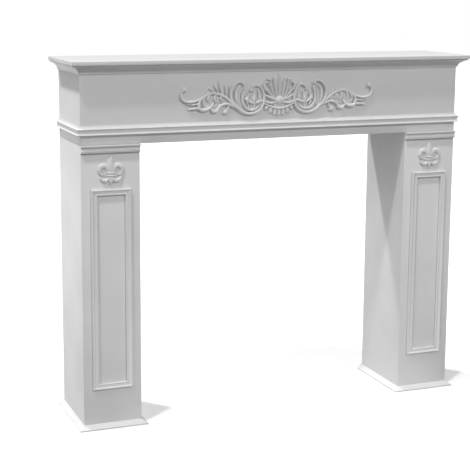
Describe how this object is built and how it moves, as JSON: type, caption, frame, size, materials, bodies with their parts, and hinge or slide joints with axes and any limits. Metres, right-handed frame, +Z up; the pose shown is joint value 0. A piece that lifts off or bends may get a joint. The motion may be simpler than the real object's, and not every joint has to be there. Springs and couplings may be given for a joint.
{
  "type": "fireplace mantelpiece",
  "caption": "White painted wooden mantelpiece: hollow legs with raised panel frames and fleurs-de-lis, a box header with a scrolled shell ornament, and a thin moulded shelf.",
  "frame": {"origin": "on the floor, under the middle of the shelf's width and depth", "axes": "+X to the right along the shelf as seen from the room, +Y back towards the wall, +Z up"},
  "size_m": [1.2, 0.272, 1.018],
  "materials": {
    "painted_wood": "smooth white satin paint",
    "ornament": "white satin paint over a moulded wood-fibre ornament"
  },
  "bodies": {
    "root": {"shelf": "painted_wood", "cornice_front": "painted_wood", "cornice_left": "painted_wood", "cornice_right": "painted_wood", "header_front": "painted_wood", "header_left_end": "painted_wood", "header_right_end": "painted_wood", "header_soffit": "painted_wood", "architrave_front": "painted_wood", "architrave_left": "painted_wood", "architrave_right": "painted_wood", "left_leg_front": "painted_wood", "left_leg_outer_side": "painted_wood", "left_leg_inner_side": "painted_wood", "left_leg_cap": "painted_wood", "left_frame_top": "painted_wood", "left_frame_bottom": "painted_wood", "left_frame_left": "painted_wood", "left_frame_right": "painted_wood", "left_skirting_front": "painted_wood", "left_skirting_outer": "painted_wood", "left_skirting_inner": "painted_wood", "right_leg_front": "painted_wood", "right_leg_inner_side": "painted_wood", "right_leg_outer_side": "painted_wood", "right_leg_cap": "painted_wood", "right_frame_top": "painted_wood", "right_frame_bottom": "painted_wood", "right_frame_left": "painted_wood", "right_frame_right": "painted_wood", "right_skirting_front": "painted_wood", "right_skirting_inner": "painted_wood", "right_skirting_outer": "painted_wood", "left_lily": "ornament", "right_lily": "ornament", "scroll_ornament": "ornament"}
  },
  "joints": []
}
